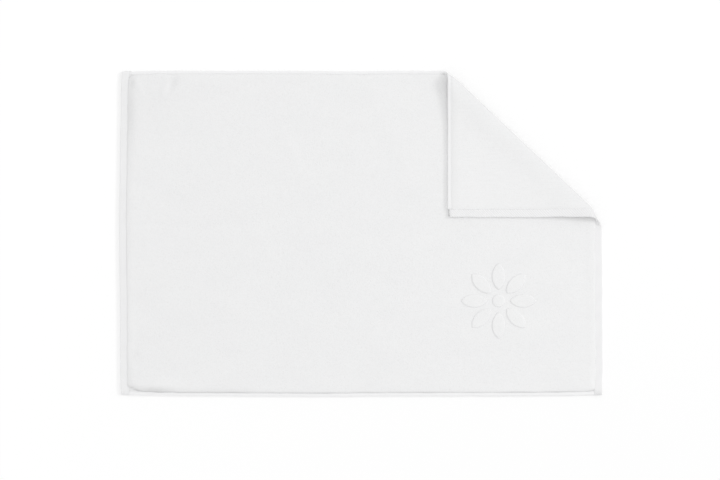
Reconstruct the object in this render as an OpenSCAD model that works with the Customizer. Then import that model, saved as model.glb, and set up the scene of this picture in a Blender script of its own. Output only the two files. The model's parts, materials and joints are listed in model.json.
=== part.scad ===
// Terry bath mat, 740 x 500 mm, with its back right corner turned over onto the face.
// Origin: centre of the underside. X runs along the length, Y across it, Z up.

/* [Mat] */
// Length of the mat, along X
mat_l = 740; // [600:10:900]
// Width of the mat, along Y
mat_w = 500; // [400:10:600]
// Thickness of the woven ground cloth
ground_t = 1; // [0.6:0.1:1.4]
// Height of the loops on each side of the ground cloth
pile_h = 2; // [1.6:0.1:2.6]

/* [Hems] */
// Width of the turned hem at each short end
end_hem_w = 13; // [8:1:20]
// Width of the turned hem along each long side
side_hem_w = 6; // [5:1:10]
// Thickness of a hem, which is flat cloth turned twice
hem_t = 3.6; // [2.8:0.1:4]
// Width of a row of hem stitches
stitch_w = 0.8; // [0.5:0.1:1.2]
// Height of a row of hem stitches above the hem
stitch_h = 0.4; // [0.2:0.1:0.6]
// Distance from a hem's inner edge to its row of stitches
stitch_inset = 1.6; // [1:0.1:2.5]

/* [Turned corner] */
// Distance from the mat's corner to the fold, along each edge
fold_leg = 231; // [180:1:260]
// Distance from the roll's centre out to the hinge line
roll_inset = 6; // [5.5:0.1:8]
// Gap between the face and the corner that lies on it
rest_gap = 0.4; // [0.3:0.1:1]
// Gap between the roll of cloth and the turned corner that hinges from it
roll_gap = 0.3; // [0.2:0.1:0.5]
// How far the turned corner is drawn sideways along the fold, in X and in Y
bias_shift = 6.3; // [0:0.1:9]

/* [Rosette] */
// Outer diameter of the raised motif
rosette_d = 116; // [80:1:130]
// Height of the motif above the face
rosette_h = 1.5; // [1:0.1:2.5]
// Number of petals
petals = 8; // [5:1:10]
// Distance from the mat's right end to the motif's centre
rosette_from_right = 159; // [90:1:200]
// Distance from the mat's front side to the motif's centre
rosette_from_front = 147; // [90:1:200]

/* [Hidden] */
$fn = 96;
half_l = mat_l / 2;
half_w = mat_w / 2;
mat_t = ground_t + 2 * pile_h;
// Height of the hinge line, midway between the face and the corner lying on it
hinge_z = mat_t + rest_gap / 2;
// Every line across the corner is written as x + y = a sum
hinge_sum = half_l + half_w - fold_leg;
roll_sum = hinge_sum - roll_inset * sqrt(2);
corner_sum = roll_sum - roll_gap * sqrt(2);
// The turned corner's tip: the mat's corner mirrored in the hinge line, then drawn sideways
tip_x = hinge_sum - half_w - bias_shift;
tip_y = hinge_sum - half_l + bias_shift;
// Inner edges of the hems
inner_x = half_l - end_hem_w;
inner_y = half_w - side_hem_w;
// Rosette petals: each is the lens where two arcs meet
petal_gap = 17;
petal_l = rosette_d / 2 - petal_gap;
petal_w = 0.5 * petal_l;
petal_r = (petal_l * petal_l + petal_w * petal_w) / (4 * petal_w);
centre_r = 10;
// Larger than the mat, for cutting blocks
big = 2 * mat_l;

// ---- Shared shapes ----

// Flat layer of the mat between its hems, from z0 up, ending where the roll begins
module panel_layer(z0, thickness)
    translate([0, 0, z0])
        linear_extrude(thickness)
            polygon([
                [-inner_x, -inner_y], [inner_x, -inner_y], [inner_x, roll_sum - inner_x],
                [roll_sum - inner_y, inner_y], [-inner_x, inner_y]
            ]);

// Flat layer of the turned corner between its hems, from z0 up, starting just clear of the roll
module corner_layer(z0, thickness)
    translate([0, 0, z0])
        linear_extrude(thickness)
            polygon([
                [tip_x + side_hem_w, tip_y + end_hem_w],
                [corner_sum - tip_y - end_hem_w, tip_y + end_hem_w],
                [tip_x + side_hem_w, corner_sum - tip_x - side_hem_w]
            ]);

// Hem along Y with its folded edge rounded, at x = 0; the band reaches to x = width
module hem_strip(width, length)
    rotate([-90, 0, 0])
        linear_extrude(length)
            translate([0, -hem_t / 2]) {
                translate([hem_t / 2, -hem_t / 2])
                    square([width - hem_t / 2, hem_t]);
                translate([hem_t / 2, 0])
                    circle(d = hem_t);
            }

// Everything on the corner's side of the line x + y = sum
module beyond(sum)
    translate([sum / 2, sum / 2, -big / 2])
        rotate([0, 0, -45])
            translate([-big / 2, 0, 0])
                cube([big, big, big]);

// Half ring round the fold, from one radius to another, along the whole fold
module fold_ring(inner_r, outer_r)
    translate([roll_sum / 2, roll_sum / 2, hinge_z])
        rotate([0, 0, -45])
            rotate([0, 90, 0])
                linear_extrude(big / 2, center = true)
                    difference() {
                        circle(r = outer_r);
                        circle(r = inner_r);
                        translate([-outer_r, -2 * outer_r])
                            square(2 * outer_r);
                    }

// The part of the fold between the hems
module fold_layer(inner_r, outer_r)
    intersection() {
        fold_ring(inner_r, outer_r);
        translate([0, 0, -big / 2])
            cube([inner_x, inner_y, big]);
    }

// ---- Mat ----

module ground_cloth() color("whitesmoke") panel_layer(pile_h, ground_t);

module face_pile() color("white") panel_layer(pile_h + ground_t, pile_h);

module reverse_pile() color("white") panel_layer(0, pile_h);

module end_hem_left() color("whitesmoke")
    translate([-half_l, -half_w, 0]) hem_strip(end_hem_w, mat_w);

module end_hem_right() color("whitesmoke")
    difference() {
        translate([half_l, half_w, 0]) rotate([0, 0, 180]) hem_strip(end_hem_w, mat_w);
        beyond(roll_sum);
    }

module side_hem_front() color("whitesmoke")
    translate([inner_x, -half_w, 0]) rotate([0, 0, 90]) hem_strip(side_hem_w, 2 * inner_x);

module side_hem_back() color("whitesmoke")
    difference() {
        translate([-inner_x, half_w, 0]) rotate([0, 0, -90]) hem_strip(side_hem_w, 2 * inner_x);
        beyond(roll_sum);
    }

// A row of stitches along Y on a hem whose folded edge is at x = 0
module stitch_row(hem_w, length)
    translate([hem_w - stitch_inset - stitch_w, 0, hem_t])
        cube([stitch_w, length, stitch_h]);

module stitch_end_left() color("gainsboro")
    translate([-half_l, -half_w, 0]) stitch_row(end_hem_w, mat_w);

module stitch_end_right() color("gainsboro")
    difference() {
        translate([half_l, half_w, 0]) rotate([0, 0, 180]) stitch_row(end_hem_w, mat_w);
        beyond(roll_sum);
    }

module stitch_side_front() color("gainsboro")
    translate([inner_x, -half_w, 0]) rotate([0, 0, 90]) stitch_row(side_hem_w, 2 * inner_x);

module stitch_side_back() color("gainsboro")
    difference() {
        translate([-inner_x, half_w, 0]) rotate([0, 0, -90]) stitch_row(side_hem_w, 2 * inner_x);
        beyond(roll_sum);
    }

module petal()
    intersection_for(side = [-1, 1])
        translate([rosette_d / 2 - petal_l / 2, side * (petal_r - petal_w / 2), 0])
            cylinder(h = rosette_h, r = petal_r);

module rosette() color("white")
    translate([half_l - rosette_from_right, rosette_from_front - half_w, mat_t]) {
        for (i = [0:petals - 1])
            rotate([0, 0, i * 360 / petals]) petal();
        cylinder(h = rosette_h, r = centre_r);
    }

// ---- Fold ----

module fold_face_pile() color("white") fold_layer(rest_gap / 2, rest_gap / 2 + pile_h);

module fold_ground_cloth() color("whitesmoke")
    fold_layer(rest_gap / 2 + pile_h, hinge_z - pile_h);

module fold_reverse_pile() color("white") fold_layer(hinge_z - pile_h, hinge_z);

module fold_end_hem() color("whitesmoke")
    intersection() {
        fold_ring(hinge_z - hem_t, hinge_z);
        translate([inner_x, -half_w, -big / 2]) cube([end_hem_w, mat_w, big]);
    }

module fold_side_hem() color("whitesmoke")
    intersection() {
        fold_ring(hinge_z - hem_t, hinge_z);
        translate([0, inner_y, -big / 2]) cube([inner_x, side_hem_w, big]);
    }

// ---- Turned corner: reverse side up, lying on the face ----

module corner_face_pile() color("white") corner_layer(mat_t + rest_gap, pile_h);

module corner_ground_cloth() color("whitesmoke")
    corner_layer(mat_t + rest_gap + pile_h, ground_t);

module corner_reverse_pile() color("white")
    corner_layer(mat_t + rest_gap + pile_h + ground_t, pile_h);

// Turns a hem of the flat mat over, so that its underside is level with the corner's top
module turned_over() translate([0, 0, 2 * hinge_z]) mirror([0, 0, 1]) children();

module corner_end_hem() color("whitesmoke")
    difference() {
        turned_over()
            translate([half_l, tip_y, 0]) rotate([0, 0, 90]) hem_strip(end_hem_w, half_l - tip_x);
        beyond(corner_sum);
    }

module corner_side_hem() color("whitesmoke")
    difference() {
        turned_over()
            translate([tip_x, tip_y + end_hem_w, 0]) hem_strip(side_hem_w, half_w);
        beyond(corner_sum);
    }

module corner_stitch_end() color("gainsboro")
    difference() {
        turned_over()
            translate([half_l, tip_y, 0]) rotate([0, 0, 90]) stitch_row(end_hem_w, half_l - tip_x);
        beyond(corner_sum);
    }

module corner_stitch_side() color("gainsboro")
    difference() {
        turned_over()
            translate([tip_x, tip_y + end_hem_w, 0]) stitch_row(side_hem_w, half_w);
        beyond(corner_sum);
    }

ground_cloth();
face_pile();
reverse_pile();
end_hem_left();
end_hem_right();
side_hem_back();
side_hem_front();
stitch_end_left();
stitch_end_right();
stitch_side_back();
stitch_side_front();
rosette();
fold_ground_cloth();
fold_face_pile();
fold_reverse_pile();
fold_end_hem();
fold_side_hem();
corner_ground_cloth();
corner_face_pile();
corner_reverse_pile();
corner_end_hem();
corner_side_hem();
corner_stitch_end();
corner_stitch_side();
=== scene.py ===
"""A white terry bath mat with one corner turned over, seen from straight above.

Every cloth piece is built flat, in millimetres, as the mat is cut and sewn. fold() then turns the
corner over, and gives each point the share of the hinge's turn that it follows when it opens.
"""
import json
import math

import bpy
import numpy as np
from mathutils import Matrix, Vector


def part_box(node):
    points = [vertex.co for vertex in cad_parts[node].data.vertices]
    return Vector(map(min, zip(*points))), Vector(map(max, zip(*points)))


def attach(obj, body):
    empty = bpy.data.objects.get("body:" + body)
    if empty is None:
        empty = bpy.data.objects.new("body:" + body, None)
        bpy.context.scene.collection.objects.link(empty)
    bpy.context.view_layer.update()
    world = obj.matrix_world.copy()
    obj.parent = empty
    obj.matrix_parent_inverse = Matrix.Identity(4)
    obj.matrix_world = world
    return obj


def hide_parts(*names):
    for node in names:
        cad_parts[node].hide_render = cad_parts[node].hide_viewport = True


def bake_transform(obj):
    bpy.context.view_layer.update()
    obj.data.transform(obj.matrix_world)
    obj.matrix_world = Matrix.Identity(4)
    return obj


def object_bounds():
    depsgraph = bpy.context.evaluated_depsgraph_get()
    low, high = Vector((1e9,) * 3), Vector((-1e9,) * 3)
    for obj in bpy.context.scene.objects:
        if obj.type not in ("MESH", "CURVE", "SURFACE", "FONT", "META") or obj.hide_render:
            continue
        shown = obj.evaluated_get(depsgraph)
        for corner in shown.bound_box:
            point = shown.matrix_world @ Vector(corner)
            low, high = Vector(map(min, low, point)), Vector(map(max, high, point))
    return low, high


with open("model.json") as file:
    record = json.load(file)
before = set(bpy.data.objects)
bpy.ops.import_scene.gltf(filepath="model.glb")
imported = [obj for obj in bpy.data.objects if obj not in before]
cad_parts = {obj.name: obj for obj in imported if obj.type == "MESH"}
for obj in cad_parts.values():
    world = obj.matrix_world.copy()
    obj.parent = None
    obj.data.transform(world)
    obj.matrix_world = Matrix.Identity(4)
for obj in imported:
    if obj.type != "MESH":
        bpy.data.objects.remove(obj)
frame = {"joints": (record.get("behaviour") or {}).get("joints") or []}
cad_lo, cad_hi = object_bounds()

MM = 0.001
ROOT2 = math.sqrt(2)
rng = np.random.default_rng(20)


def box_mm(node):
    """Lowest and highest corner of a CAD node, in millimetres."""
    low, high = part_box(node)
    return np.array(low) / MM, np.array(high) / MM


# ---------------------------------------------------------------- sizes, from the frame (mm)
HALF_L, HALF_W = cad_hi[0] / MM, cad_hi[1] / MM
MAT_T = box_mm("face_pile")[1][2]
MID = MAT_T / 2
GROUND_LOW, GROUND_HIGH = box_mm("ground_cloth")[0][2], box_mm("ground_cloth")[1][2]
HEM_T = box_mm("end_hem_left")[1][2]
END_HEM = np.ptp(box_mm("end_hem_left"), axis=0)[0]
SIDE_HEM = np.ptp(box_mm("side_hem_front"), axis=0)[1]
TIP = box_mm("corner_end_hem")[0]
ROSETTE_LOW, ROSETTE_HIGH = box_mm("rosette")

hinge = frame["joints"][0]
HINGE_X, HINGE_Y, HINGE_Z = (c / MM for c in hinge["pos_m"])
HINGE_S = (HINGE_X + HINGE_Y) / ROOT2

# ---------------------------------------------------------------- the fold (mm)
# s runs across the fold, out towards the mat's corner; v runs along it, up towards the back side.
V_RIGHT = (HINGE_S * ROOT2 - 2 * HALF_L) / ROOT2
V_BACK = (2 * HALF_W - HINGE_S * ROOT2) / ROOT2
STRIP = 10.0          # half the width of cloth that makes the roll
EASE = 60.0           # cloth on each side of the roll that eases into it
ROLL_MIDDLE = 4.6     # radius of the roll at the middle of the fold, to the cloth's mid surface
ROLL_END_MORE = 1.0   # how much larger it is at both ends
ROLL_BACK_MORE = 0.9  # and how much more at the back
OUT_RIGHT = 3.8       # how far the roll stands out past the hinge line at the right
OUT_BACK = -5.2       # and at the back
ROUND_RIGHT = 7.5     # how far its outline is drawn in at its right end
ROUND_BACK = 2.5      # and at its back end
ROUND_REACH = 0.1     # part of the fold's length in which each end is drawn in
LIE = 8.4             # height of the turned corner's mid surface where it lies on the face
DROOP = 82.0          # distance over which it comes down from the roll to there
DROOP_SOON = 0.55     # part of that fall in the first third of it, at the middle of the fold
SAG = 1.6             # how much lower the thinner hems lie at the turned corner's edges
SAG_REACH = 16.0      # how far in from those edges that starts
SAG_MORE = 0.35       # part of its height that such an edge loses where the corner hangs free
SAG_SOON = 22.0       # distance from the roll within which that sets in
CRUSH = 0.5           # how far the layers crush together round the roll
RIDGE_OPEN = 0.3      # how proud the crease stays in the opened mat's face
RIDGE_REACH = 6.25    # and how far to each side
BIAS = (HINGE_S * ROOT2 - HALF_W - TIP[0]) * ROOT2  # how far the corner is drawn along the fold


def smooth(t):
    t = np.clip(t, 0, 1)
    return t * t * (3 - 2 * t)


# How far each edge of the lying mat is drawn in from a straight line: place along it, distance
IN_LEFT = [(-250, 2.0), (-238, 1.3), (-100, 1.0), (-20, -0.3), (50, 0), (128, 1.3), (205, 2.0),
           (235, 2.7), (250, 3.8)]
IN_RIGHT = [(-250, 0.4), (-238, 0), (-209, -0.6), (-163, -0.3), (-41, 0), (-10, 1.2), (18, 1.6)]
IN_FRONT = [(-370, 3.6), (-347, 2.2), (-324, 1.9), (-278, 0.9), (-155, 0.3), (-60, -0.3), (29, 0.6),
            (152, 0.8), (275, 1.2), (336, 2.2), (370, 3.1)]
IN_BACK = [(-370, 1.6), (-347, 0.9), (-310, 0.1), (-94, 0.2), (-32, 0.8), (121, 0.8)]
IN_REACH = 85.0       # how far into the mat that goes
IN_CLEAR = (-110, -45)       # places across the fold between which it fades out
IN_CLEAR_RIGHT = (-45, -5)   # and the same for the right edge


def lie(x, y):
    """The lying mat's outline isn't ruled: its corners are drawn in a little."""
    m = (x + y) / ROOT2 - HINGE_S

    def fade(start, end):
        return 1 - smooth((m - start) / (end - start))

    def inward(profile, place, distance, kept):
        at, much = np.array(profile, float).T
        return np.interp(place, at, much) * (1 - smooth(distance / IN_REACH)) * kept

    keep, keep_right = fade(*IN_CLEAR), fade(*IN_CLEAR_RIGHT)

    new_x = x + inward(IN_LEFT, y, x + HALF_L, keep) - inward(IN_RIGHT, y, HALF_L - x, keep_right)
    new_y = y + inward(IN_FRONT, x, y + HALF_W, keep) - inward(IN_BACK, x, HALF_W - y, keep)
    return new_x, new_y


def fold(flat):
    """Turns the flat mat's corner over. Gives the points at rest and their share of the turn."""
    x, y, z = np.asarray(flat, float).T
    x, y = lie(x, y)
    s, v = (x + y) / ROOT2, (y - x) / ROOT2
    n = z - MID
    m = s - HINGE_S
    along = np.clip((v - V_RIGHT) / (V_BACK - V_RIGHT), 0, 1)
    lean = 1 - 2 * along
    radius = ROLL_MIDDLE + ROLL_END_MORE * lean ** 2 + ROLL_BACK_MORE * along ** 2
    outer = radius + MID
    out = OUT_RIGHT + (OUT_BACK - OUT_RIGHT) * along
    out -= ROUND_RIGHT * (1 - smooth(along / ROUND_REACH)) ** 2
    out -= ROUND_BACK * (1 - smooth((1 - along) / ROUND_REACH)) ** 2
    s0 = HINGE_S + out - outer
    shift = s0 - (HINGE_S - STRIP)
    z0 = MID + radius
    turn = np.clip((m + STRIP) / (2 * STRIP), 0, 1)
    theta = math.pi * turn

    before = smooth((m + STRIP + EASE) / EASE)
    after = 1 - smooth((m - STRIP) / EASE)
    panel, flap = m <= -STRIP, m >= STRIP
    rolled_s = s0 + (outer - CRUSH * (n + MID)) * np.sin(theta)
    rolled_z = z0 - (radius - n) * np.cos(theta)
    soon = DROOP_SOON * (1 - lean ** 2)
    fallen = soon * smooth(3 * (m - STRIP) / DROOP) + (1 - soon) * smooth((m - STRIP) / DROOP)
    free = (z0 + radius - LIE) * (1 - fallen)
    edge = 1 - smooth(np.minimum(HALF_L - x, HALF_W - y) / SAG_REACH)
    lost = SAG * smooth((m - STRIP) / EASE) + SAG_MORE * free * smooth((m - STRIP) / SAG_SOON)
    flap_z = LIE + free - edge * lost - n
    new_s = np.where(panel, s + shift * before,
                     np.where(flap, 2 * HINGE_S - s + shift * after, rolled_s))
    new_v = np.where(panel, v + lean * shift * before,
                     np.where(flap, v - lean * shift * after, v + lean * shift * (1 - 2 * turn)))
    new_v += BIAS * smooth(turn)
    new_z = np.where(panel, z, np.where(flap, flap_z, rolled_z))

    # Opened, each point turns about the hinge to its height in the flat mat, on its own side of it.
    p, q = new_s - HINGE_S, new_z - HINGE_Z
    distance = np.maximum(np.hypot(p, q), 1e-6)
    angle = np.mod(np.arctan2(q, p), 2 * math.pi)
    level = z * (1 + RIDGE_OPEN / MAT_T * np.exp(-(m / RIDGE_REACH) ** 2))
    down = np.arcsin(np.clip((HINGE_Z - level) / distance, -1, 1))
    nearest = math.pi / 2 - np.arctan2(z0 - HINGE_Z, HINGE_S - s0)
    below = np.where(angle < math.pi / 2, angle + 2 * math.pi, angle)
    above = np.where(angle > 1.25 * math.pi, angle - 2 * math.pi, angle)
    share = np.where(theta < nearest, (below - down) / math.pi - 1, (above + down) / math.pi)
    share = np.where(panel, 0.0, share)
    folded = np.stack([(new_s - new_v) / ROOT2, (new_s + new_v) / ROOT2, new_z], axis=1)
    return folded, share


def opened(points, share):
    """Where folded points lie, seen from above, once the corner is opened."""
    x, y, z = points.T
    p, q, v = (x + y) / ROOT2 - HINGE_S, z - HINGE_Z, (y - x) / ROOT2
    s = HINGE_S + np.hypot(p, q) * np.cos(np.arctan2(q, p) - share * math.pi)
    return np.stack([(s - v) / ROOT2, (s + v) / ROOT2], axis=1)


# ---------------------------------------------------------------- relief of the cloth (mm)
def ripples(x, y, wavelength, waves=14, seed=1, stretch=1.0):
    """A soft random surface between about -1 and 1; stretch lengthens it along X."""
    own = np.random.default_rng(seed)
    total = np.zeros_like(x)
    for _ in range(waves):
        direction, phase = own.uniform(0, math.pi), own.uniform(0, 2 * math.pi)
        k = 2 * math.pi / (wavelength * own.uniform(0.7, 1.5))
        total += np.sin(k * (x * math.cos(direction) / stretch + y * math.sin(direction)) + phase)
    return total / math.sqrt(2 * waves)


# Soft creases in the face: start, end, width and height, with a negative height for a dip
CREASES = [
    ((-352, 243), (-338, 218), 4, 0.7),
    ((-357, 226), (-350, 240), 3, -0.9),
    ((-282, 242), (-293, 222), 4, -0.9),
    ((-298, 243), (-302, 214), 5, 0.55),
    ((-358, 14), (-185, 10), 7, -0.45),
    ((-122, 158), (-92, 92), 9, 0.45),
    ((-205, 60), (-150, -20), 14, 0.35),
    ((60, -215), (150, -150), 16, 0.35),
    ((-340, -236), (-262, -231), 6, 0.9),
    ((20, 205), (60, 120), 14, 0.35),
    ((300, -210), (345, -170), 12, 0.4),
]


def creases(x, y):
    total = np.zeros_like(x)
    for (ax, ay), (bx, by), width, height in CREASES:
        length = math.hypot(bx - ax, by - ay)
        ux, uy = (bx - ax) / length, (by - ay) / length
        along = (x - ax) * ux + (y - ay) * uy
        across = (x - ax) * uy - (y - ay) * ux
        beyond = np.maximum(np.maximum(-along, along - length), 0)
        total += height * np.exp(-(across / width) ** 2 - (beyond / (2 * width)) ** 2)
    return total


# ---------------------------------------------------------------- making pieces
def make_piece(name, points, faces, material, uv, shade=None):
    """A smooth mesh from points in millimetres, with a UV map in metres of flat cloth.

    shade is how much darker each point's colour is made: mostly painted shade where shade falls on
    the cloth."""
    mesh = bpy.data.meshes.new(name)
    mesh.from_pydata((np.asarray(points) * MM).tolist(), [], faces)
    mesh.validate()
    layer = mesh.uv_layers.new(name="flat")
    corner = np.zeros(len(mesh.loops), np.int32)
    mesh.loops.foreach_get("vertex_index", corner)
    layer.data.foreach_set("uv", (np.asarray(uv)[corner] * MM).astype(np.float32).ravel())
    if shade is not None:
        attribute = mesh.attributes.new("shade", "FLOAT", "POINT")
        attribute.data.foreach_set("value", shade.astype(np.float32))
    mesh.polygons.foreach_set("use_smooth", np.full(len(mesh.polygons), True))
    mesh.materials.append(material)
    mesh.update()
    piece = bpy.data.objects.new(name, mesh)
    bpy.context.scene.collection.objects.link(piece)
    return piece


def make_folding(name, flat, faces, material, uv=None, shade=None):
    """A piece of the mat that crosses the fold, or lies on either side of it.

    uv is its place on the flat cloth, or left out where only the opened cloth shows at the fold."""
    points, share = fold(flat)
    if uv is None:
        uv = opened(points, share)
    piece = make_piece(name, points, faces, material, uv, shade)
    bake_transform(piece)
    return piece


EDGE_LINES = np.array([0, 0.5, 1.1, 1.9, 2.9, 4.3])  # grid lines near an edge, from it inwards
INNER_LINE = 6.5      # and where the even lines start


def grid_lines(low, high, step):
    """Grid lines from low to high, closer together at both edges."""
    first, last = low + INNER_LINE, high - INNER_LINE
    inner = np.linspace(first, last, int(round((high - low - 2 * INNER_LINE) / step)) + 1)
    return np.concatenate([low + EDGE_LINES, inner, (high - EDGE_LINES)[::-1]])


def slab(xs, ys, top, bottom):
    """A closed layer between two surfaces over a grid. Gives its points and faces."""
    nx, ny = len(xs), len(ys)
    gx, gy = (g.ravel() for g in np.meshgrid(xs, ys, indexing="ij"))
    points = np.concatenate([np.stack([gx, gy, side(gx, gy)], 1) for side in (top, bottom)])
    index = np.arange(nx * ny).reshape(nx, ny)
    a, b, c, d = index[:-1, :-1], index[1:, :-1], index[1:, 1:], index[:-1, 1:]
    upper = np.stack([a, b, c, d], -1).reshape(-1, 4)
    lower = upper[:, ::-1] + nx * ny
    rim = np.concatenate([index[:, 0], index[-1, 1:], index[-2::-1, -1], index[0, -2:0:-1]])
    after = np.roll(rim, -1)
    wall = np.stack([after, rim, rim + nx * ny, after + nx * ny], -1)
    return points, np.concatenate([upper, lower, wall]).tolist()


def sweep(section, places):
    """Joins copies of a closed outline, one at each place along a path, into a closed tube.

    section(i) gives the outline's points at place i."""
    rings = np.stack([section(i) for i in range(places)])
    count = rings.shape[1]
    index = np.arange(places * count).reshape(places, count)
    after = np.roll(index, -1, axis=1)
    sides = np.stack([index[:-1], after[:-1], after[1:], index[1:]], -1).reshape(-1, 4).tolist()
    return rings.reshape(-1, 3), sides + [index[0][::-1].tolist(), index[-1].tolist()]


# ---------------------------------------------------------------- materials
GAP_SHADE = 0.07      # light lost in the gaps between loops
RIB_SHADE = 0.05      # and between the ribs of a twill
LOOP_LONG = 1.35      # a loop's length over its width
LOOP_SOFT = 0.45      # how softly one loop runs into the next
LAY_SIZE = 5.0        # size of the patches in which the loops lean one way, mm
ROW_SHAPE = (1.5, 40, 1)  # width and length of the rows that show, mm
TONE_SIZE, BAND_TONE_SIZE = 38, 16  # size of the patches of slightly different tone, mm
TONE_LOW, TONE_HIGH = 0.3, 0.7      # noise values at which the tone is darkest and lightest
WAVE_PERIOD = 0.31    # width of one band of the wave texture at scale 1


def new_material(name, roughness=0.92, sheen=0.08):
    """A fabric material with its shader and a vector in millimetres of flat cloth."""
    material = bpy.data.materials.new(name)
    material.use_nodes = True
    nodes, links = material.node_tree.nodes, material.node_tree.links
    shader = nodes["Principled BSDF"]
    shader.inputs["Roughness"].default_value = roughness
    shader.inputs["Specular IOR Level"].default_value = 0.25
    shader.inputs["Sheen Weight"].default_value = sheen
    shader.inputs["Sheen Roughness"].default_value = 0.6
    place = nodes.new("ShaderNodeUVMap")
    place.uv_map = "flat"
    scale = nodes.new("ShaderNodeVectorMath")
    scale.operation = "SCALE"
    scale.inputs["Scale"].default_value = 1 / MM
    links.new(place.outputs["UV"], scale.inputs[0])
    return material, nodes, links, shader, scale.outputs["Vector"]


def noise(nodes, links, vector, size, detail, stretch=(1, 1, 1)):
    """Noise with features about size millimetres across, times stretch."""
    mapping = nodes.new("ShaderNodeMapping")
    mapping.inputs["Scale"].default_value = [1 / (size * s) for s in stretch]
    links.new(vector, mapping.inputs["Vector"])
    texture = nodes.new("ShaderNodeTexNoise")
    texture.inputs["Scale"].default_value = 1.0
    texture.inputs["Detail"].default_value = detail
    texture.inputs["Roughness"].default_value = 0.55
    links.new(mapping.outputs["Vector"], texture.inputs["Vector"])
    return texture.outputs["Fac"]


def math_node(nodes, links, operation, *values):
    """The result of a math operation on sockets and plain numbers."""
    node = nodes.new("ShaderNodeMath")
    node.operation = operation
    for entry, value in zip(node.inputs, values):
        if isinstance(value, (int, float)):
            entry.default_value = value
        else:
            links.new(value, entry)
    return node.outputs["Value"]


def tint(nodes, links, shader, factor, dark, light, gaps=None):
    """Colour that runs from dark to light with a factor, darkened by the painted shade in the shade
    attribute and by the light lost in the gaps.
    """
    ramp = nodes.new("ShaderNodeValToRGB")
    ends = zip(ramp.color_ramp.elements, (TONE_LOW, TONE_HIGH), (dark, light))
    for element, position, colour in ends:
        element.position = position
        element.color = (*colour, 1)
    links.new(factor, ramp.inputs["Fac"])
    shade = nodes.new("ShaderNodeAttribute")
    shade.attribute_name = "shade"
    darker = nodes.new("ShaderNodeMix")
    darker.data_type = "RGBA"
    lost = shade.outputs["Fac"]
    if gaps is not None:
        lost = math_node(nodes, links, "ADD", lost, gaps)
    links.new(lost, darker.inputs["Factor"])
    links.new(ramp.outputs["Color"], darker.inputs["A"])
    darker.inputs["B"].default_value = (0, 0, 0, 1)
    links.new(darker.outputs["Result"], shader.inputs["Base Color"])


def bump(nodes, links, shader, height, distance, under=None):
    """Adds relief, distance in millimetres, over the bump under it."""
    node = nodes.new("ShaderNodeBump")
    node.inputs["Strength"].default_value = 1.0
    node.inputs["Distance"].default_value = distance * MM
    links.new(height, node.inputs["Height"])
    if under is not None:
        links.new(under, node.inputs["Normal"])
    links.new(node.outputs["Normal"], shader.inputs["Normal"])
    return node.outputs["Normal"]


def terry(name, loop_size, relief, lay_relief, dark, light, lay=(2.2, 1, 1), rows=0.0):
    """Cotton loops: rows of small rounded tufts with uneven height, and a slow tone change.

    lay is the shape of the patches in which the loops lean one way; rows is the light lost between
    the woven rows that show through along Y."""
    material, nodes, links, shader, vector = new_material(name)
    mapping = nodes.new("ShaderNodeMapping")
    mapping.inputs["Scale"].default_value = (1 / (LOOP_LONG * loop_size), 1 / loop_size, 1)
    links.new(vector, mapping.inputs["Vector"])
    loops = nodes.new("ShaderNodeTexVoronoi")
    loops.feature = "SMOOTH_F1"
    loops.inputs["Scale"].default_value = 1.0
    loops.inputs["Smoothness"].default_value = LOOP_SOFT
    links.new(mapping.outputs["Vector"], loops.inputs["Vector"])
    distance = loops.outputs["Distance"]
    slow = noise(nodes, links, vector, TONE_SIZE, detail=4, stretch=(1.8, 1, 1))
    squared = math_node(nodes, links, "MULTIPLY", distance, distance)
    gaps = math_node(nodes, links, "MULTIPLY", squared, GAP_SHADE)
    if rows:
        lines = noise(nodes, links, vector, 1.0, detail=2, stretch=ROW_SHAPE)
        between = math_node(nodes, links, "MULTIPLY", lines, rows)
        gaps = math_node(nodes, links, "ADD", gaps, between)
    tint(nodes, links, shader, slow, dark, light, gaps=gaps)
    tufts = math_node(nodes, links, "SUBTRACT", 1.0, distance)
    first = bump(nodes, links, shader, tufts, relief)
    patches = noise(nodes, links, vector, LAY_SIZE, detail=3, stretch=lay)
    second = bump(nodes, links, shader, patches, lay_relief, under=first)
    fibre = noise(nodes, links, vector, 0.55, detail=2)
    bump(nodes, links, shader, fibre, relief * 0.22, under=second)
    return material


def woven(name, pitch, relief, diagonal, dark, light):
    """Flat weave: twill ribs when diagonal is true, and threads along the band otherwise."""
    material, nodes, links, shader, vector = new_material(name, roughness=0.85, sheen=0.1)
    ribs = nodes.new("ShaderNodeTexWave")
    ribs.wave_type = "BANDS"
    ribs.bands_direction = "DIAGONAL" if diagonal else "Y"
    ribs.inputs["Scale"].default_value = WAVE_PERIOD / pitch
    ribs.inputs["Distortion"].default_value = 0.6
    ribs.inputs["Detail"].default_value = 1.0
    links.new(vector, ribs.inputs["Vector"])
    slow = noise(nodes, links, vector, BAND_TONE_SIZE, detail=4)
    between = math_node(nodes, links, "SUBTRACT", 1.0, ribs.outputs["Fac"])
    gaps = math_node(nodes, links, "MULTIPLY", between, RIB_SHADE if diagonal else RIB_SHADE / 4)
    tint(nodes, links, shader, slow, dark, light, gaps=gaps)
    first = bump(nodes, links, shader, ribs.outputs["Fac"], relief)
    threads = noise(nodes, links, vector, 0.9, detail=2, stretch=(1, 2.5, 1))
    bump(nodes, links, shader, threads, relief * 0.6, under=first)
    return material


def thread(name, colour):
    """Twisted sewing cotton."""
    material, nodes, links, shader, vector = new_material(name, roughness=0.7)
    fuzz = noise(nodes, links, vector, 0.8, detail=2)
    tint(nodes, links, shader, fuzz, [c * 0.96 for c in colour], colour)
    ply = nodes.new("ShaderNodeTexWave")
    ply.bands_direction = "DIAGONAL"
    ply.inputs["Scale"].default_value = 0.6
    links.new(vector, ply.inputs["Vector"])
    bump(nodes, links, shader, ply.outputs["Fac"], 0.1)
    return material


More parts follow.
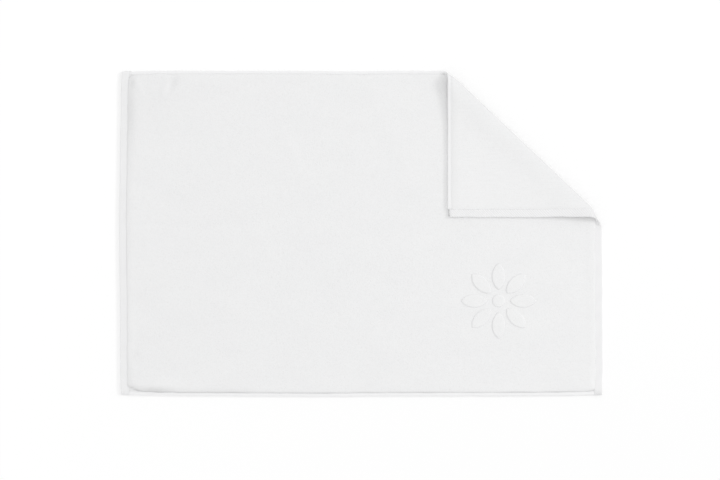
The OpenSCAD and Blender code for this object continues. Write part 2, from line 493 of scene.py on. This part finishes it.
face_cotton = terry("face_terry", 1.0, 0.20, 0.28,
                    dark=(0.892, 0.893, 0.897), light=(0.908, 0.909, 0.911))
reverse_cotton = terry("reverse_terry", 0.85, 0.11, 0.17,
                       dark=(0.922, 0.923, 0.927), light=(0.936, 0.937, 0.939),
                       lay=(0.8, 6, 1), rows=0.055)
rosette_cotton = terry("rosette_terry", 0.85, 0.18, 0.28,
                       dark=(0.898, 0.899, 0.902), light=(0.913, 0.914, 0.915))
ground_cotton = woven("ground_weave", 1.0, 0.08, diagonal=False,
                      dark=(0.81, 0.81, 0.81), light=(0.84, 0.84, 0.84))
end_band = woven("end_hem_twill", 1.85, 0.26, diagonal=True,
                 dark=(0.93, 0.93, 0.935), light=(0.955, 0.955, 0.96))
side_band = woven("side_hem_weave", 1.3, 0.08, diagonal=False,
                  dark=(0.932, 0.932, 0.937), light=(0.956, 0.956, 0.961))
hem_thread = thread("hem_thread", (0.87, 0.87, 0.875))

# ---------------------------------------------------------------- the terry cloth
PILE_STEP = 2.8
PILE_EDGE_X = (-HALF_L + END_HEM - 2.6, HALF_L - END_HEM + 1.9)
PILE_EDGE_Y = (-HALF_W + SIDE_HEM - 1.0, HALF_W - SIDE_HEM + 1.4)
SHOULDER = 4.2        # how far in from its edge the pile reaches full height
DROPS = (1.4, 0.5, 2.0, 1.5)  # how far it drops there: left, right, front and back
DROPS_REVERSE = (1.2, 1.2, 1.2, 1.2)
REVERSE_LOW = 0.15    # height of the reverse loops' tips over the floor
EDGE_WAVE = 0.35      # how far the pile's edge wanders in and out
EDGE_WAVE_REACH = 5.0
PUFF = (0.3, 7, 5)    # pile just inside a hem stands prouder: height, distance in, reach
FACE_UNEVEN, REVERSE_UNEVEN = 0.07, 0.05  # spread of the loops' heights
SLOW_WAVES = 0.1      # height of the waves the loops stand on
BROAD_WAVES = 0.12    # and of those across the whole face
OVERLAP = 0.2         # how far each pile reaches into the ground weave
GROUND_STEP = 5.0
IN_HEM = 1.8          # from a hem's folded edge to the ground weave inside it

pile_xs = grid_lines(*PILE_EDGE_X, PILE_STEP)
pile_ys = grid_lines(*PILE_EDGE_Y, PILE_STEP)


def from_sides(x, y):
    """Distances in from the pile's left, right, front and back edges."""
    return x - PILE_EDGE_X[0], PILE_EDGE_X[1] - x, y - PILE_EDGE_Y[0], PILE_EDGE_Y[1] - y


def from_edge(x, y):
    return np.minimum.reduce(from_sides(x, y))


# Corners where the seams hold the pile flat: sides (left or right, front or back), reach along X
# and Y, and how far in the pile starts along each
CORNERS = [((0, 2), (15, 6), (2, 8)), ((0, 3), (6, 7), (3, 4)), ((1, 2), (6, 5), (1.5, 2.5))]


def from_foot(x, y):
    """from_sides, less what the seams hold flat at the corners."""
    sides = list(from_sides(x, y))
    flat = [np.zeros_like(x) for _ in sides]
    for (side, other), (reach_x, reach_y), (in_x, in_y) in CORNERS:
        flat[other] = flat[other] + in_y * np.exp(-(sides[side] / reach_x) ** 2)
        flat[side] = flat[side] + in_x * np.exp(-(sides[other] / reach_y) ** 2)
    return [side - held for side, held in zip(sides, flat)]


# Stretches of the edge where the pile bulges: middle, reach, extra height and width of its slope
BULGES = [((-356, 195), 55, 2.2, 14), ((-318, -243), 38, 3.6, 9), ((-356, 40), 70, 0.8, 12),
          ((-250, 243), 45, 0.6, 8), ((340, -238), 34, 1.2, 9), ((60, -243), 110, 0.7, 8),
          ((-180, -243), 80, 1.2, 8)]
BULGE_FADE = 26.0     # how far past that slope a bulge levels out


def bulge(edge, x, y):
    """Height the pile gains just inside the hem where it bulges."""
    total = np.zeros_like(x)
    for (bx, by), reach, more, slope in BULGES:
        near = np.exp(-((x - bx) ** 2 + (y - by) ** 2) / reach ** 2)
        fade = np.exp(-(np.maximum(edge - slope, 0) / BULGE_FADE) ** 2)
        total += more * near * smooth(edge / slope) * fade
    return total


def shoulder(x, y, drops):
    """Height lost towards the edges, where the pile rounds over."""
    lost = []
    for edge, drop in zip(from_foot(x, y), drops):
        t = 1 - np.clip(edge / SHOULDER, 0, 1)
        lost.append(drop * (1 - np.sqrt(np.maximum(1 - t * t, 0))))
    return np.maximum.reduce(lost)


def puff(edge):
    """Pile held down by the hem stands a little prouder just inside it."""
    height, place, reach = PUFF
    return height * np.exp(-((edge - place) / reach) ** 2)


def wander(points):
    """Moves the pile's edge in and out a little, and more at the back's left, so it isn't ruled."""
    x, y = points[:, 0], points[:, 1]
    near = np.exp(-from_edge(x, y) / EDGE_WAVE_REACH)
    waver = EDGE_WAVE * (1 + 1.3 * (y > 0) * smooth(-(x + 100) / 60))
    points[:, 0] += near * EDGE_WAVE * ripples(y, y * 0, 26, seed=61) * np.sign(x)
    points[:, 1] += near * waver * ripples(x, x * 0, 30, seed=62) * np.sign(y)
    return points


def pile_noise(x, y, seed, amount):
    """Loops of uneven height, row by row along X, with slow waves under them."""
    own = np.random.default_rng(seed)
    loops = own.normal(0, amount, x.shape)
    rows = ripples(x, y, 7, waves=24, seed=seed + 1, stretch=2.5) * amount
    slow = ripples(x, y, 55, seed=seed + 2, stretch=1.6) * SLOW_WAVES
    return loops + rows + slow


def face_top(x, y):
    edge = from_edge(x, y)
    inside = smooth(edge / 6)
    foot = np.maximum(np.minimum.reduce(from_foot(x, y)), 0)
    return (MAT_T - shoulder(x, y, DROPS) + puff(foot) + bulge(foot, x, y) + inside * creases(x, y)
            + smooth(edge / 2) * pile_noise(x, y, 31, FACE_UNEVEN)
            + inside * ripples(x, y, 150, seed=77) * BROAD_WAVES)


def reverse_bottom(x, y):
    uneven = np.abs(pile_noise(x, y, 41, REVERSE_UNEVEN))
    return REVERSE_LOW + shoulder(x, y, DROPS_REVERSE) + smooth(from_edge(x, y) / 2) * uneven


# Spots of painted shade on the face pile, where shade falls on its slopes and grooves: middle,
# reach along X and Y, light lost
SHADE_SPOTS = [(-356, 185, 8, 62, 0.055), (-330, 200, 45, 40, 0.022), (-316, -242, 24, 5, 0.13),
          (-344, -186, 7, 9, 0.03), (-286, 233, 6, 10, 0.05), (-353, 232, 5, 10, 0.05),
          (-225, -243, 60, 4, 0.05)]
EDGE_SHADE = (0.03, 0.0, 0.2, 0.06)  # painted shade along the pile's foot at the left, right, front and back edges
EDGE_SHADE_REACH = 1.6
ROLL_SHADE = (0.15, 0, 7)        # light lost on the reverse over the roll: amount, place, reach
HOLLOW_SHADE = (0.012, 38, 10)   # and in the hollow beside it


# Painted shade: the face pile's colour is darkened at these spots and along its foot at the edges,
# where shade falls.
def face_shade(x, y):
    total = np.zeros_like(x)
    for ox, oy, reach_x, reach_y, lost in SHADE_SPOTS:
        total += lost * np.exp(-((x - ox) / reach_x) ** 2 - ((y - oy) / reach_y) ** 2)
    for edge, lost in zip(from_foot(x, y), EDGE_SHADE):
        uneven = 1 + 0.4 * ripples(x, y, 40, seed=71)
        total += lost * uneven * np.exp(-(edge / EDGE_SHADE_REACH) ** 2)
    return np.clip(total, 0, 0.3)


def reverse_shade(x, y):
    """Painted shade on the reverse: darker colour round the outside of the roll and in the hollow
    beside it, where shade falls.
    """
    m = (x + y) / ROOT2 - HINGE_S
    uneven = 1 + 0.5 * ripples(x, y, 120, seed=73)
    roll, hollow = (lost * np.exp(-((m - place) / reach) ** 2)
                    for lost, place, reach in (ROLL_SHADE, HOLLOW_SHADE))
    return roll + hollow * uneven


def flat_at(height):
    """A flat surface for slab()."""
    return lambda x, y: np.full_like(x, height)


points, faces = slab(pile_xs, pile_ys, face_top, flat_at(GROUND_HIGH - OVERLAP))
# The face pile's colour carries painted shade from face_shade().
shade = face_shade(points[:, 0], points[:, 1])
face_pile = make_folding("face_pile_loops", wander(points), faces, face_cotton,
                         shade=shade)
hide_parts("face_pile", "fold_face_pile", "corner_face_pile")

points, faces = slab(pile_xs, pile_ys, flat_at(GROUND_LOW + OVERLAP), reverse_bottom)
# The reverse pile's colour carries painted shade from reverse_shade().
shade = reverse_shade(points[:, 0], points[:, 1])
reverse_pile = make_folding("reverse_pile_loops", points, faces, reverse_cotton,
                            uv=points[:, :2], shade=shade)
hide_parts("reverse_pile", "fold_reverse_pile", "corner_reverse_pile")

# The ground weave runs on into the folded hems
ground_xs = np.linspace(-HALF_L + IN_HEM, HALF_L - IN_HEM, int(2 * HALF_L / GROUND_STEP))
ground_ys = np.linspace(-HALF_W + IN_HEM, HALF_W - IN_HEM, int(2 * HALF_W / GROUND_STEP))
points, faces = slab(ground_xs, ground_ys, flat_at(GROUND_HIGH), flat_at(GROUND_LOW))
ground = make_folding("ground_weave", points, faces, ground_cotton)
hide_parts("ground_cloth", "fold_ground_cloth", "corner_ground_cloth")

# ---------------------------------------------------------------- hems
HEM_STEP = 2.0
SEAM_IN = 1.3         # from a hem's inner edge to its seam
SEAM_DIP = 0.4        # how far the thread pulls the band down
SEAM_DIP_W = 0.7
OUTER_ROUND = 0.8     # width of the rounding along a hem's folded edge
INNER_ROUND = 1.3     # and along its inner edge
INNER_LEFT = 0.35     # part of its thickness a hem keeps at its inner edge
HEM_LIFT = 0.1        # how far over the floor a hem lies
HEM_WANDER = 0.25     # how far its folded edge wanders in and out
HEM_UNEVEN = 0.12     # how much its thickness varies
PUCKER = 0.07         # height of the puckers between the stitches
END_ROUND = 1.5       # length of the rounding at a hem's ends
END_LEFT = 0.55       # part of its thickness a hem keeps there
END_SHADE_REACH = 6.0    # how far the painted shade at a hem's first end reaches
STITCH = 2.9          # length of one stitch and the gap after it


def hem_section(width):
    """Outline of a hem across its width: rounded at its fold, dipped along its seam."""
    across = np.concatenate([[0.0, 0.05, 0.16, 0.38, 0.8, 1.4], np.linspace(2.0, width - 3.0, 3),
                             np.linspace(width - 2.4, width - 0.6, 7),
                             [width - 0.3, width - 0.1, width]])
    low, high = HEM_LIFT, HEM_T + HEM_LIFT
    mid, half = (low + high) / 2, (high - low) / 2
    outer = np.sqrt(1 - (1 - np.clip(across / OUTER_ROUND, 0, 1)) ** 2)
    inner = np.sqrt(1 - (1 - np.clip((width - across) / INNER_ROUND, 0, 1)) ** 2)
    round_off = np.minimum(outer, INNER_LEFT + (1 - INNER_LEFT) * inner)
    dip = SEAM_DIP * np.exp(-((across - (width - SEAM_IN)) / SEAM_DIP_W) ** 2)
    top = mid + (half - dip) * round_off
    bottom = mid - (half - dip) * round_off
    return np.concatenate([across, across[1:-1][::-1]]), np.concatenate([top, bottom[1:-1][::-1]])


def hem(name, start, along, inward, length, width, material, nodes, seed, bow=0.0, end_shade=0.0):
    """A hem from start in direction along; inward points from its folded edge to the cloth.

    bow is how far it bows out at its middle, and end_shade is how much painted shade darkens the
    colour at its first end."""
    across, height = hem_section(width)
    count = int(round(length / HEM_STEP)) + 1
    distances = np.linspace(0, length, count)
    start, along, inward = (np.array(a, float) for a in (start, along, inward))
    wobble = ripples(distances, np.zeros(count), 45, seed=seed) * HEM_WANDER
    thick = ripples(distances, np.zeros(count), 22, seed=seed + 1) * HEM_UNEVEN
    pucker = PUCKER * np.sin(distances * 2 * math.pi / STITCH)
    end_taper = np.clip(np.minimum(distances, length - distances) / END_ROUND, 0, 1)
    end_taper = END_LEFT + (1 - END_LEFT) * np.sqrt(1 - (1 - end_taper) ** 2)
    middle = HEM_T / 2 + HEM_LIFT

    def section(i):
        d = distances[i]
        out = wobble[i] * np.clip(1 - across / width, 0, 1)
        out -= bow * 4 * d * (length - d) / length ** 2
        flat = start + np.outer(np.full_like(across, d), along) + np.outer(across + out, inward)
        rise = (height - middle) * end_taper[i]
        rise += (thick[i] + pucker[i] * smooth(across / width)) * (height > middle)
        return np.concatenate([flat, (middle + rise)[:, None]], axis=1)

    points, faces = sweep(section, count)
    uv = np.stack([np.repeat(distances, len(across)), np.tile(-across, count)], axis=1)
    # A colour a little darker all over, plus painted shade at the first end and, on the reverse
    # side, painted shade over the roll.
    shade = 0.02 + end_shade * np.exp(-(uv[:, 0] / END_SHADE_REACH) ** 2)
    shade += (points[:, 2] < middle) * reverse_shade(points[:, 0], points[:, 1])
    # On the face side the weave runs straight across the crease once the corner is opened
    on_face = points[:, 2] > middle
    lying = opened(*fold(points)) - start
    uv[on_face] = np.stack([lying @ along, -(lying @ inward)], axis=1)[on_face]
    piece = make_folding(name, points, faces, material, uv, shade)
    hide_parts(*nodes)
    return piece


SIDE_IN = END_HEM - 1.0         # side hems start just under the end hems' inner edges
SIDE_L = 2 * (HALF_L - SIDE_IN)
TIP_SHORT = 3.0                 # how far the right end hem stops short of the back side
hems = [
    hem("hem_end_left", (-HALF_L, -HALF_W), (0, 1), (1, 0), 2 * HALF_W, END_HEM, end_band,
        ["end_hem_left"], 101, bow=0.5),
    hem("hem_end_right", (HALF_L, -HALF_W), (0, 1), (-1, 0), 2 * HALF_W - TIP_SHORT, END_HEM,
        end_band, ["end_hem_right", "fold_end_hem", "corner_end_hem"], 103, end_shade=0.09),
    hem("hem_side_front", (-HALF_L + SIDE_IN, -HALF_W + 0.3), (1, 0), (0, 1), SIDE_L, SIDE_HEM,
        side_band, ["side_hem_front"], 105),
    hem("hem_side_back", (-HALF_L + SIDE_IN, HALF_W - 0.1), (1, 0), (0, -1), SIDE_L, SIDE_HEM,
        side_band, ["side_hem_back", "fold_side_hem", "corner_side_hem"], 107),
]

# ---------------------------------------------------------------- stitches
STITCH_R = 0.33       # radius of the thread
STITCH_SHARE = 0.78   # part of each stitch that shows between two needle holes
STITCH_ARCH = 0.22    # how far the middle of a stitch rises
STITCH_SWAY = 0.06    # how far its ends stray from the row
STITCH_SIDES, STITCH_RINGS = 6, 7
SEAM_END = 2.0        # from a mat's side to the first stitch of an end seam
SEAM_OUT = 0.6        # from a mat's side to where a side seam's width is measured


def stitches(name, start, along, inward, length, width, nodes):
    """Two rows of stitches, one on each side of the hem, each stitch a bowed capsule."""
    start, along, inward = (np.array(a, float) for a in (start, along, inward))
    seam = start + inward * (width - SEAM_IN)
    ring = np.arange(STITCH_SIDES) * 2 * math.pi / STITCH_SIDES
    places = np.linspace(0, 1, STITCH_RINGS)
    swell = STITCH_R * np.sqrt(np.clip(1 - (2 * places - 1) ** 4, 0.03, 1))
    arch = STITCH_ARCH * (1 - (2 * places - 1) ** 2)
    across, height = hem_section(width)
    seam_place = np.abs(across[:len(across) // 2] - (width - SEAM_IN)).argmin()
    top = height[seam_place]
    bottom = HEM_T + 2 * HEM_LIFT - top
    points, faces, uv = [], [], []
    count = int(length / STITCH)
    for side, level in ((1, top), (-1, bottom)):
        for i in range(count):
            first = (i + 0.1) * length / count
            sway = rng.normal(0, STITCH_SWAY, 2)
            base = len(points)
            for place, swollen, rise in zip(places, swell, arch):
                d = first + place * STITCH_SHARE * STITCH
                for angle in ring:
                    out = swollen * math.cos(angle) + sway[0] + (sway[1] - sway[0]) * place
                    up = swollen * math.sin(angle) + rise
                    spot = seam + along * d + inward * out
                    points.append((*spot, level + side * up))
                    uv.append((d, out))
            for r in range(STITCH_RINGS - 1):
                for k in range(STITCH_SIDES):
                    a = base + STITCH_SIDES * r + k
                    b = base + STITCH_SIDES * r + (k + 1) % STITCH_SIDES
                    faces.append((a, b, b + STITCH_SIDES, a + STITCH_SIDES))
            last = base + STITCH_SIDES * (STITCH_RINGS - 1)
            faces.append(tuple(base + k for k in reversed(range(STITCH_SIDES))))
            faces.append(tuple(last + k for k in range(STITCH_SIDES)))
    piece = make_folding(name, np.array(points), faces, hem_thread, np.array(uv))
    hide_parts(*nodes)
    return piece


seams = [
    stitches("seam_end_left", (-HALF_L, -HALF_W + SEAM_END), (0, 1), (1, 0),
             2 * (HALF_W - SEAM_END), END_HEM, ["stitch_end_left"]),
    stitches("seam_end_right", (HALF_L, -HALF_W + SEAM_END), (0, 1), (-1, 0),
             2 * (HALF_W - SEAM_END) - TIP_SHORT, END_HEM,
             ["stitch_end_right", "corner_stitch_end"]),
    stitches("seam_side_front", (-HALF_L + SIDE_IN, -HALF_W + SEAM_OUT), (1, 0), (0, 1),
             SIDE_L, SIDE_HEM, ["stitch_side_front"]),
    stitches("seam_side_back", (-HALF_L + SIDE_IN, HALF_W - SEAM_OUT), (1, 0), (0, -1),
             SIDE_L, SIDE_HEM, ["stitch_side_back", "corner_stitch_side"]),
]

# ---------------------------------------------------------------- the rosette
ROSETTE_X, ROSETTE_Y = (ROSETTE_LOW[:2] + ROSETTE_HIGH[:2]) / 2
ROSETTE_R = np.ptp([ROSETTE_LOW[0], ROSETTE_HIGH[0]]) / 2
PETALS = 8
PETAL_IN = 17.0       # from the centre to where a petal starts
CENTRE_R = 10.0
PILLOW = 3.0          # width of the rounded edge of the raised pile
SINK = 0.9            # how far the motif's underside lies in the face pile
RIM_LOW = 0.3         # and how far the foot of its rounded edge does
FORM_SHARES = (1, 1, 0.985, 0.95, 0.9, 0.82, 0.7, 0.5, 0.25)  # size of each ring of a form
RIM_SHADE = (0.22, 0.16, 0.08, 0.03, 0, 0, 0, 0, 0)  # light lost in the groove round it
LOOP_JITTER = 0.04
PETAL_POINTS, DISC_POINTS = 44, 40
PETAL_SHARP = 0.45    # 0 for an ellipse, and more for sharper ends


def pillow(outline, middle):
    """A closed crowned form on an outline round middle: steep rounded edge, nearly flat top."""
    outline, middle = np.array(outline, float), np.array(middle, float)
    count = len(outline)
    rise = ROSETTE_HIGH[2] - MAT_T
    radius = np.linalg.norm(outline - middle, axis=1).max()
    points, shade = [], []
    for i, (share, lost) in enumerate(zip(FORM_SHARES, RIM_SHADE)):
        shade += [lost] * count
        z = MAT_T - SINK
        if i > 0:
            lift = 1 - max(1 - (1 - share) * radius / PILLOW, 0) ** 2
            crown = 0.9 + 0.1 * (1 - share)
            z = MAT_T - RIM_LOW + (rise + RIM_LOW) * math.sqrt(lift) * crown
        spots = middle + (outline - middle) * share
        points += [(*p, z + rng.normal(0, LOOP_JITTER) * (0 < i)) for p in spots]
    points.append((*middle, MAT_T + rise))
    shade.append(0.0)
    faces = [tuple(range(count))[::-1]]
    for r in range(len(FORM_SHARES) - 1):
        for k in range(count):
            a, b = r * count + k, r * count + (k + 1) % count
            faces.append((a, b, b + count, a + count))
    last = (len(FORM_SHARES) - 1) * count
    faces += [(last + k, last + (k + 1) % count, len(points) - 1) for k in range(count)]
    return points, faces, shade


def petal_outline(angle):
    """A lens with rounded ends, pointing out from the rosette's centre."""
    length = ROSETTE_R - PETAL_IN
    outline = []
    for i in range(PETAL_POINTS):
        t = 2 * math.pi * i / PETAL_POINTS
        along = PETAL_IN + length / 2 * (1 + math.cos(t))
        across = length / 4 * math.sin(t) * abs(math.sin(t)) ** PETAL_SHARP
        outline.append((ROSETTE_X + along * math.cos(angle) - across * math.sin(angle),
                        ROSETTE_Y + along * math.sin(angle) + across * math.cos(angle)))
    return outline


def rosette():
    """Petals and a centre disc, raised from the face pile."""
    points, faces, shade, shapes = [], [], [], []
    for i in range(PETALS):
        angle = 2 * math.pi * i / PETALS
        reach = (PETAL_IN + ROSETTE_R) / 2
        middle = (ROSETTE_X + reach * math.cos(angle), ROSETTE_Y + reach * math.sin(angle))
        shapes.append((petal_outline(angle), middle))
    disc = [(ROSETTE_X + CENTRE_R * math.cos(t), ROSETTE_Y + CENTRE_R * math.sin(t))
            for t in np.arange(DISC_POINTS) * 2 * math.pi / DISC_POINTS]
    shapes.append((disc, (ROSETTE_X, ROSETTE_Y)))
    for outline, middle in shapes:
        more, more_faces, more_shade = pillow(outline, middle)
        base = len(points)
        points += more
        shade += more_shade
        faces += [tuple(base + k for k in face) for face in more_faces]
    points = np.array(points)
    piece = make_piece("rosette_pile", points, faces, rosette_cotton, points[:, :2],
                       np.array(shade))
    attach(piece, "mat")
    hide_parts("rosette")
    return piece


motif = rosette()

# ---------------------------------------------------------------- floor, light and camera
VIEW_WIDTH = 1.105    # metres of floor across the picture
VIEW_CENTRE = (-0.0015, -0.0098)
LENS, SENSOR = 100.0, 36.0
FLOOR_HALF = 4.0
FLOOR_WHITE = 0.99
FLOOR_GLOW = 0.055    # painted light: the floor glows a little, most at its left and fading to none at its right
AMBIENT = 0.893
KEY_FROM = (0.76, 0.28, 0.44)  # direction of the key light, which is low at the right
KEY_DISTANCE = 4.5
KEY_SIZE = 1.1
KEY_POWER = 38.2


def floor():
    """White, and lit evenly: a painted glow, strongest at its left, makes up for the key light's
    fall-off there, so that only the mat's own shade shows on it.
    """
    mesh = bpy.data.meshes.new("floor")
    corners = [(-1, -1), (1, -1), (1, 1), (-1, 1)]
    mesh.from_pydata([(x * FLOOR_HALF, y * FLOOR_HALF, 0) for x, y in corners], [], [(0, 1, 2, 3)])
    material = bpy.data.materials.new("floor_white")
    material.use_nodes = True
    shader = material.node_tree.nodes["Principled BSDF"]
    shader.inputs["Base Color"].default_value = (FLOOR_WHITE, FLOOR_WHITE, FLOOR_WHITE, 1)
    shader.inputs["Emission Color"].default_value = (1, 1, 1, 1)
    nodes, links = material.node_tree.nodes, material.node_tree.links
    place = nodes.new("ShaderNodeTexCoord")
    parts = nodes.new("ShaderNodeSeparateXYZ")
    # Painted light: emission strongest at the left edge of the view, none at the right.
    glow = nodes.new("ShaderNodeMapRange")
    glow.inputs["From Min"].default_value = -VIEW_WIDTH / 2
    glow.inputs["From Max"].default_value = VIEW_WIDTH / 2
    glow.inputs["To Min"].default_value = FLOOR_GLOW
    glow.inputs["To Max"].default_value = 0.0
    links.new(place.outputs["Object"], parts.inputs["Vector"])
    links.new(parts.outputs["X"], glow.inputs["Value"])
    links.new(glow.outputs["Result"], shader.inputs["Emission Strength"])
    shader.inputs["Roughness"].default_value = 1.0
    shader.inputs["Specular IOR Level"].default_value = 0.0
    mesh.materials.append(material)
    piece = bpy.data.objects.new("floor", mesh)
    bpy.context.scene.collection.objects.link(piece)


def lighting():
    """Even light from all round, and one soft key light."""
    world = bpy.data.worlds.new("studio")
    world.use_nodes = True
    background = world.node_tree.nodes["Background"]
    background.inputs["Color"].default_value = (1, 1, 1, 1)
    background.inputs["Strength"].default_value = AMBIENT
    bpy.context.scene.world = world
    light = bpy.data.lights.new("key", "AREA")
    light.shape = "DISK"
    light.size = KEY_SIZE
    light.energy = KEY_POWER
    key = bpy.data.objects.new("key", light)
    bpy.context.scene.collection.objects.link(key)
    place = Vector(KEY_FROM).normalized() * KEY_DISTANCE
    key.location = place
    key.rotation_mode = "QUATERNION"
    key.rotation_quaternion = place.to_track_quat("Z", "Y")


def camera():
    """Straight above the mat."""
    data = bpy.data.cameras.new("camera")
    data.lens, data.sensor_width = LENS, SENSOR
    data.clip_end = 50
    piece = bpy.data.objects.new("camera", data)
    piece.location = (*VIEW_CENTRE, LENS / SENSOR * VIEW_WIDTH)
    bpy.context.scene.collection.objects.link(piece)
    bpy.context.scene.camera = piece


floor()
lighting()
camera()
bpy.context.scene.view_settings.view_transform = "Standard"
